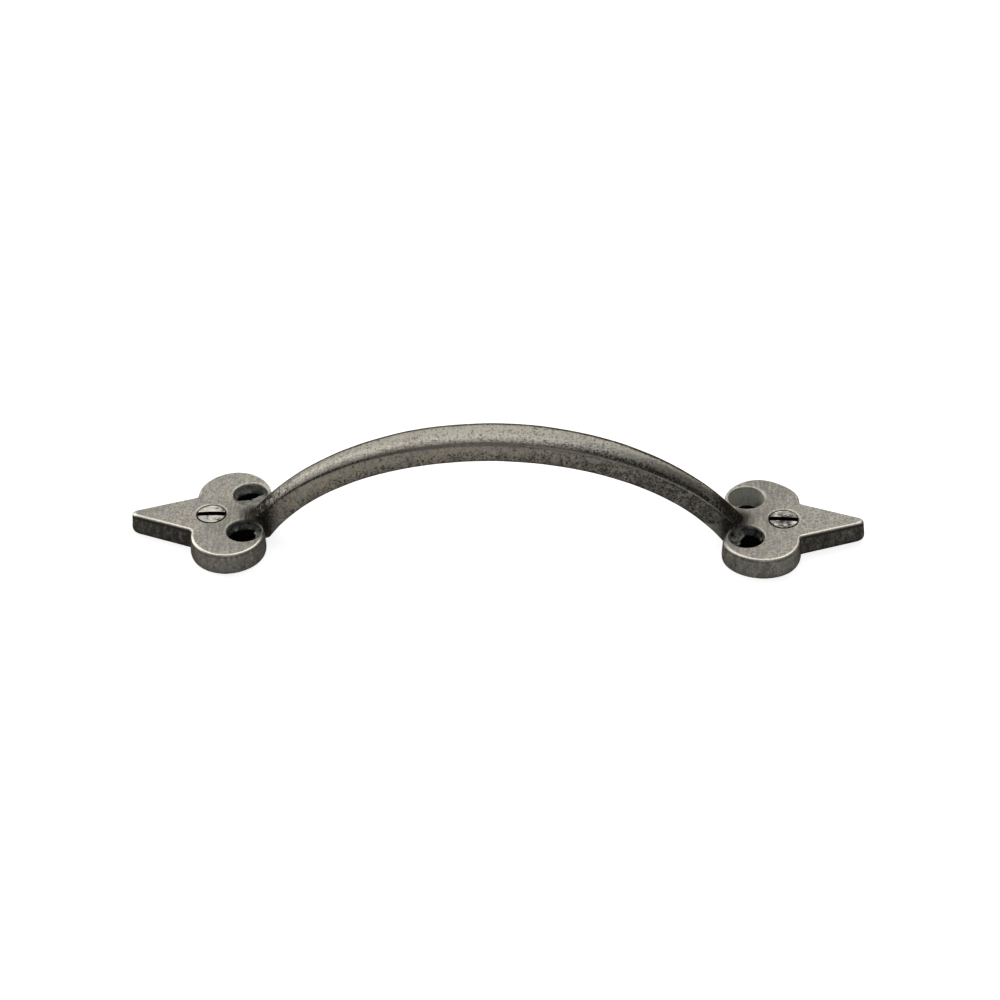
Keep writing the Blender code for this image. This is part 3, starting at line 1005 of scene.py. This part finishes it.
# %% [markdown]
# The bow's sides are painted darker downwards and towards the right arm, as
# painted shade over a mottled patina. Along its front arris a painted dark
# crease runs on the left arm, and on the right arm a pale ridge, wear with a
# painted highlight, lies below a painted dark band. The far flank of the dome
# is painted dark too, as shade, in a band that widens towards the feet.

# %% Patina and painted shade of the bow
def read_bow(at):
    """Masks that say which part of the bow this is."""
    return SimpleNamespace(
        below=1.0 - at.over_arris.step(-0.35, 0.5),
        right_arm=at.bow_run.step(-0.1, 0.8),
        front=(-at.facing_y).step(0.1, 0.35) * at.on_bow,
        pits=at.speck.step(0.60, 0.68) * at.on_bow,
        ridge=at.over_arris.line(-0.10, 0.20) * at.bow_run.step(0.1, 0.4))


def bow_patina_and_shade(at, bow):
    # Painted shade: darker further below the arris and on the right arm, over a base patina.
    depth = 1.0 - at.over_arris.step(-4.4, -0.6)
    patina_and_shade = 0.10 + depth * 0.48 + bow.right_arm * (0.62 - depth * 0.48)
    patina_and_shade = patina_and_shade + (at.cloud - 0.5) * 0.5 + (at.blots - 0.5) * 1.1
    patina_and_shade = at.on_bow * bow.below * patina_and_shade
    # Painted dark lines along the front arris, as shade and dark reflection there.
    band = at.over_arris.line(0.35, 0.75) * at.bow_run.step(0.1, 0.5)
    soft_band = at.over_arris.line(0.05, 0.6) * bow.right_arm * 0.55
    crease = at.over_arris.line(0.05, 0.35) * (1.0 - at.bow_run.step(-0.7, -0.1))
    arris_shade = (band.math("MAXIMUM", soft_band) * 0.85).math("MAXIMUM", crease) * bow.front
    # Painted shade on the far flank of the dome, wider towards the feet.
    near_end = at.bow_run.abs().step(0.15, 0.75)
    far_flank_shade = (at.facing_y + near_end * 0.14).step(0.23, 0.36) * at.on_bow
    patina_and_shade = patina_and_shade.math("MAXIMUM", arris_shade).math("MAXIMUM", far_flank_shade)
    # A pale ridge along the right arm's arris: wear with a painted highlight.
    return patina_and_shade - bow.ridge * bow.front * (0.3 + at.fine * 0.9)


# %% All masks together
def bronze_masks(at, bow):
    """How much patina and painted shade cover the metal, and how pale its edges are from wear and
    painted highlight.
    """
    patina_and_shade = foot_patina_and_shade(at) * (1.0 - at.on_bow)
    covers = (bow_patina_and_shade(at, bow), at.hollow * 0.9, at.in_seat, at.root_shade * 0.85)
    for cover in covers:
        patina_and_shade = patina_and_shade.math("MAXIMUM", cover)
    patina_and_shade = patina_and_shade + (at.fine - 0.5) * (1.1 + at.on_bow * 2.3) + (at.cloud - 0.5) * 0.35
    far_lobe = at.x.step(45 * MM, 55 * MM) * at.y.step(1 * MM, 12 * MM) * (1.0 - at.on_bow)
    patina_and_shade = patina_and_shade + (at.broad - 0.45) * 0.5 + (at.brush - 0.5) * 0.9 + far_lobe * 0.18
    patina_and_shade = (patina_and_shade + bow.pits * 0.35).clamped()

    # Pale edges: wear, with a painted highlight on the rounding that faces up and to the front.
    wear_and_highlight = at.edge * (1.0 + (at.fine - 0.5) * 1.4)
    for spared in (at.in_opening, at.in_seat, at.on_bow * 0.7, at.at_rim * 0.7, at.root_shade):
        wear_and_highlight = wear_and_highlight * (1.0 - spared)
    wear_and_highlight = wear_and_highlight * at.facing_z.step(0.5, 0.8) * (1.0 - at.facing_z.step(0.985, 0.999) * 0.8)
    # Wear with a painted highlight along the ridge of the right arm.
    ridge_wear_and_highlight = bow.ridge * bow.front * at.fine.step(0.45, 0.6) * 0.35
    return patina_and_shade, (wear_and_highlight * 1.1).math("MAXIMUM", ridge_wear_and_highlight).clamped()


# %% [markdown]
# Colours are red, green and blue in linear light. The bare metal is a mix of
# a warmer and a cooler tone, the dome of the bow is polished a little, and a
# painted highlight lightens the front shoulder of the left arm.

# %% Colours of the bronze
WARM = (0.205, 0.188, 0.158, 1.0), (0.425, 0.398, 0.340, 1.0)
COOL = (0.190, 0.183, 0.167, 1.0), (0.400, 0.386, 0.352, 1.0)
POLISH_AND_HIGHLIGHT = (0.66, 0.62, 0.53, 1.0)
BROWN = (0.050, 0.045, 0.038, 1.0), (0.092, 0.078, 0.058, 1.0)
BLACK_BROWN = (0.034, 0.032, 0.029, 1.0)
TAN = (0.36, 0.30, 0.20, 1.0)
CREAM = (0.92, 0.87, 0.75, 1.0)
SKIN = (0.012, 0.012, 0.011, 1.0), (0.70, 0.71, 0.64, 1.0)


def bronze_colour(graph, at, bow, patina_and_shade, wear_and_highlight):
    grains = at.fine.step(0.35, 0.65)
    satin = graph.mix(at.cloud.step(0.38, 0.62), graph.mix(grains, *WARM), graph.mix(grains, *COOL))
    crown = at.on_bow * (1.0 - bow.below)
    # Painted highlight on the front shoulder of the left arm, where the lamp above reflects.
    shoulder_highlight = at.over_arris.line(0.85, 0.75) * (1.0 - bow.right_arm) * bow.front
    polish_and_highlight = crown * (0.25 - (at.fine - 0.5) * 1.2) + shoulder_highlight * 0.45
    bare = graph.mix(polish_and_highlight.clamped(), satin, POLISH_AND_HIGHLIGHT)

    brown = graph.mix(at.cloud.step(0.45, 0.7), *BROWN)
    dark = graph.mix(at.fine.step(0.35, 0.7) * 0.8, BLACK_BROWN, brown)
    colour = graph.mix(patina_and_shade, bare, dark)
    # A mottled warm tan sheen, a painted highlight under the arris of the left arm, fading where
    # the painted shade grows.
    tan = at.on_bow * bow.below * (1.0 - bow.right_arm) * (1.0 - patina_and_shade)
    colour = graph.mix(tan * at.cloud.step(0.42, 0.62) * 0.6, colour, TAN)
    colour = graph.mix(wear_and_highlight, colour, CREAM)

    # The skin's paleness is painted light and shade, set per opening, with pale rims and mottling.
    tone = at.skin_tone + at.edge * 0.35 + (at.blots - 0.5) * 1.1 + (at.fine - 0.5) * 0.8
    tone = (tone * at.skin_tone.above(0.02)).clamped()
    return graph.mix(at.in_opening, colour, graph.mix(tone, *SKIN))


# %% [markdown]
# Metal mirrors more at a grazing angle, and a smooth edge would flare up. A
# rough casting doesn't, so a dark specular tint keeps its far edges dark.

# %% Bronze nodes
DARK_GRAZING = (0.40, 0.38, 0.35, 1.0)


def bronze_nodes(material):
    graph = Graph(material.node_tree)
    at = read_surface(graph)
    bow = read_bow(at)
    patina_and_shade, wear_and_highlight = bronze_masks(at, bow)
    rough = 0.38 - at.on_bow * 0.05 + patina_and_shade * 0.14 + (at.brush - 0.5) * 0.16
    rough = rough - wear_and_highlight * 0.08 + at.in_opening * 0.2
    height = at.fine * (0.9 + at.on_bow * 1.6) + at.cloud * 0.5 + at.brush * 0.35
    height = height - bow.pits * 0.6
    bump = graph.add("ShaderNodeBump", None,
                     {"Strength": 0.6, "Distance": 0.07 * MM, "Height": height})
    shader = graph.add("ShaderNodeBsdfPrincipled", None,
                       {"Base Color": bronze_colour(graph, at, bow, patina_and_shade, wear_and_highlight),
                        "Roughness": rough, "Specular Tint": DARK_GRAZING,
                        "Metallic": 1.0 - at.in_opening * 0.75, "Normal": bump})
    graph.add("ShaderNodeOutputMaterial", None, {"Surface": shader})
    print(material.name, len(material.node_tree.nodes), "nodes")


bronze_nodes(bronze)

# %% [markdown]
# ## Tarnished nickel
#
# The screw heads are brighter than the casting, with grey stains that the
# patina bath left on them, more of them on the right screw. The slot walls,
# the threads and what lies below the top of the head are painted dark as
# shade.

# %% Nickel nodes
BRIGHT_NICKEL = (0.62, 0.59, 0.52, 1.0)
TARNISH_AND_SHADE = (0.020, 0.019, 0.016, 1.0)


def nickel_nodes(material):
    graph = Graph(material.node_tree)
    place = graph.add("ShaderNodeTexCoord").out("Object")
    where = graph.add("ShaderNodeSeparateXYZ", None, {0: place})
    blotch = graph.add("ShaderNodeTexNoise", {"noise_dimensions": "3D"},
                       {"Vector": place, "Scale": 620.0, "Detail": 3.0, "Roughness": 0.65})
    cloudy = graph.add("ShaderNodeTexNoise", {"noise_dimensions": "3D"},
                       {"Vector": place, "Scale": 260.0, "Detail": 2.0, "Roughness": 0.5})
    stain = (blotch + where.out("X").above(0.0) * 0.10).step(0.46, 0.66)
    stain = stain * 0.62 + cloudy.step(0.40, 0.62) * 0.35
    facing = graph.add("ShaderNodeSeparateXYZ", None,
                       {0: graph.add("ShaderNodeNewGeometry").out("Normal")})
    # Painted shade: dark below the top of the head and on walls that face sideways, such as the
    # slot's.
    below = 1.0 - where.out("Z").step(HEAD_TOP - 0.6 * MM, HEAD_TOP - 0.3 * MM)
    wall = 1.0 - facing.out("Z").step(0.3, 0.9)
    stain_and_shade = stain.math("MAXIMUM", below).math("MAXIMUM", wall).clamped()
    colour = graph.mix(stain_and_shade, BRIGHT_NICKEL, TARNISH_AND_SHADE)
    shader = graph.add("ShaderNodeBsdfPrincipled", None,
                       {"Base Color": colour, "Roughness": 0.26 + stain_and_shade * 0.25, "Metallic": 1.0})
    graph.add("ShaderNodeOutputMaterial", None, {"Surface": shader})
    print(material.name, len(material.node_tree.nodes), "nodes")


nickel_nodes(nickel)

# %% [markdown]
# ## Studio
#
# The pull lies on a white table. The table's material adds a steady white to
# what the lamps give, more of it in the picture than in reflections, and the
# lamps add the rest, so that the shadow under the pull stays. Under the four
# openings the table is painted black as painted shade, so that no white shows
# through them.

# %% White table
TABLE_HALF = 1.5
TABLE_WHITE = (0.8, 0.8, 0.8, 1.0)
# Painted shade: black on the table under the four openings, where the casting would shade it.
PAINTED_SHADE_BLACK = (0.01, 0.01, 0.01, 1.0)
SHADE_PATCH_X = SCREW_X - 7.1 * MM
SHADE_PATCH_Y = 7.05 * MM
SHADE_PATCH_RADIUS = OPENING_RADIUS + 1.1 * MM
SHADE_PATCH_EDGE = 0.6 * MM
bm = bmesh.new()
bmesh.ops.create_grid(bm, x_segments=1, y_segments=1, size=TABLE_HALF)
table_mesh = bpy.data.meshes.new("table")
bm.to_mesh(table_mesh)
bm.free()
table = link_object("table", table_mesh)
print("table:", 2 * TABLE_HALF, "m wide")


def table_nodes(material):
    graph = Graph(material.node_tree)
    path = graph.add("ShaderNodeLightPath")
    seen = path.out("Is Camera Ray") * 0.80 + path.out("Is Glossy Ray") * 0.3
    place = graph.add("ShaderNodeTexCoord").out("Object")
    split = graph.add("ShaderNodeSeparateXYZ", None, {0: place})
    out = split.out("X").abs() - SHADE_PATCH_X
    across = split.out("Y").abs() - SHADE_PATCH_Y
    distance = (out * out + across * across) ** 0.5
    # 0 inside the painted shade under the openings, 1 on the open white table.
    clear = distance.step(SHADE_PATCH_RADIUS, SHADE_PATCH_RADIUS + SHADE_PATCH_EDGE)
    colour = graph.mix(clear, PAINTED_SHADE_BLACK, TABLE_WHITE)
    diffuse = graph.add("ShaderNodeBsdfDiffuse", None, {"Color": colour})
    white = graph.mix(clear, (0.0, 0.0, 0.0, 1.0), (1.0, 1.0, 1.0, 1.0))
    glow = graph.add("ShaderNodeEmission", None, {"Color": white, "Strength": seen})
    both = graph.add("ShaderNodeAddShader", None, {0: diffuse, 1: glow})
    graph.add("ShaderNodeOutputMaterial", None, {"Surface": both})


table_material = new_material("table_white")
table_nodes(table_material)
table_mesh.materials.append(table_material)

# %% [markdown]
# One large soft box stands behind the pull and leans over it. The faces that
# look up show it, the near sides don't: they show the table. It reaches
# further to the left, so the left arm of the bow is lighter than the right.
# A low card behind lights the far edges, one at the left the left end, and a
# weak lamp in front keeps the near sides from going black.

# %% Soft box and room
def soft_box(name, position, target, size, brightness):
    """An area lamp whose surface has the given brightness."""
    data = bpy.data.lights.new(name, "AREA")
    data.shape = "RECTANGLE"
    data.size, data.size_y = size
    data.energy = brightness * math.pi * size[0] * size[1]
    lamp = bpy.data.objects.new(name, data)
    lamp.location = position
    aim = Vector(target) - Vector(position)
    lamp.rotation_euler = aim.to_track_quat("-Z", "Y").to_euler()
    bpy.context.scene.collection.objects.link(lamp)


soft_box("soft_box", (-0.32, 0.62, 0.55), (-0.32, 0.07, 0.0), (1.55, 1.2), 1.1)
soft_box("back_card", (0.1, 1.35, 0.2), (0.0, 0.0, 0.0), (1.9, 0.38), 1.0)
soft_box("left_card", (-1.15, 0.35, 0.36), (0.0, 0.0, 0.0), (1.1, 0.65), 0.9)
soft_box("front_fill", (0.2, -1.2, 0.95), (0.0, 0.0, 0.0), (0.7, 0.5), 0.9)

world = bpy.data.worlds.new("room")
world.use_nodes = True
world.node_tree.nodes.clear()
room = Graph(world.node_tree)
in_view = room.add("ShaderNodeLightPath").out("Is Camera Ray")
backdrop = room.add("ShaderNodeBackground", None,
                    {"Color": (1.0, 1.0, 1.0, 1.0), "Strength": 0.17 + in_view * 0.83})
room.add("ShaderNodeOutputWorld", None, {"Surface": backdrop})
bpy.context.scene.world = world
bpy.context.scene.view_settings.view_transform = "Standard"

# %% [markdown]
# ## Camera
#
# The camera looks down at 36.6 degrees and a little from the right, and it is
# rolled by about two degrees. The lens is long, so the two feet have nearly
# the same size. A small shift puts the middle of the screw line where the
# photograph has it.

# %% Camera
CAMERA_ELEVATION = math.radians(36.56)
CAMERA_AZIMUTH = math.radians(4.23)
CAMERA_ROLL = math.radians(-1.90)
CAMERA_DISTANCE = 0.80
PHOTO_WIDTH = 1000.0
PIXELS_PER_METRE = 4511.96
ORIGIN_PIXEL = (496.39, 534.16)

camera_data = bpy.data.cameras.new("camera")
camera_data.sensor_width = 36.0
camera_data.lens = PIXELS_PER_METRE * CAMERA_DISTANCE / PHOTO_WIDTH * camera_data.sensor_width
camera_data.shift_x = 0.5 - ORIGIN_PIXEL[0] / PHOTO_WIDTH
camera_data.shift_y = ORIGIN_PIXEL[1] / PHOTO_WIDTH - 0.5
camera_data.clip_start = 0.05
camera_data.clip_end = 20.0
camera = bpy.data.objects.new("camera", camera_data)
bpy.context.scene.collection.objects.link(camera)
bpy.context.scene.camera = camera

right = Vector((math.cos(CAMERA_AZIMUTH), math.sin(CAMERA_AZIMUTH), 0.0))
back = Vector((math.sin(CAMERA_AZIMUTH) * math.cos(CAMERA_ELEVATION),
               -math.cos(CAMERA_AZIMUTH) * math.cos(CAMERA_ELEVATION),
               math.sin(CAMERA_ELEVATION)))
stand = Matrix((right, back.cross(right), back)).transposed().to_4x4()
camera.matrix_world = (Matrix.Translation(back * CAMERA_DISTANCE) @ stand
                       @ Matrix.Rotation(CAMERA_ROLL, 4, "Z"))
print("lens", round(camera_data.lens, 1), "mm")
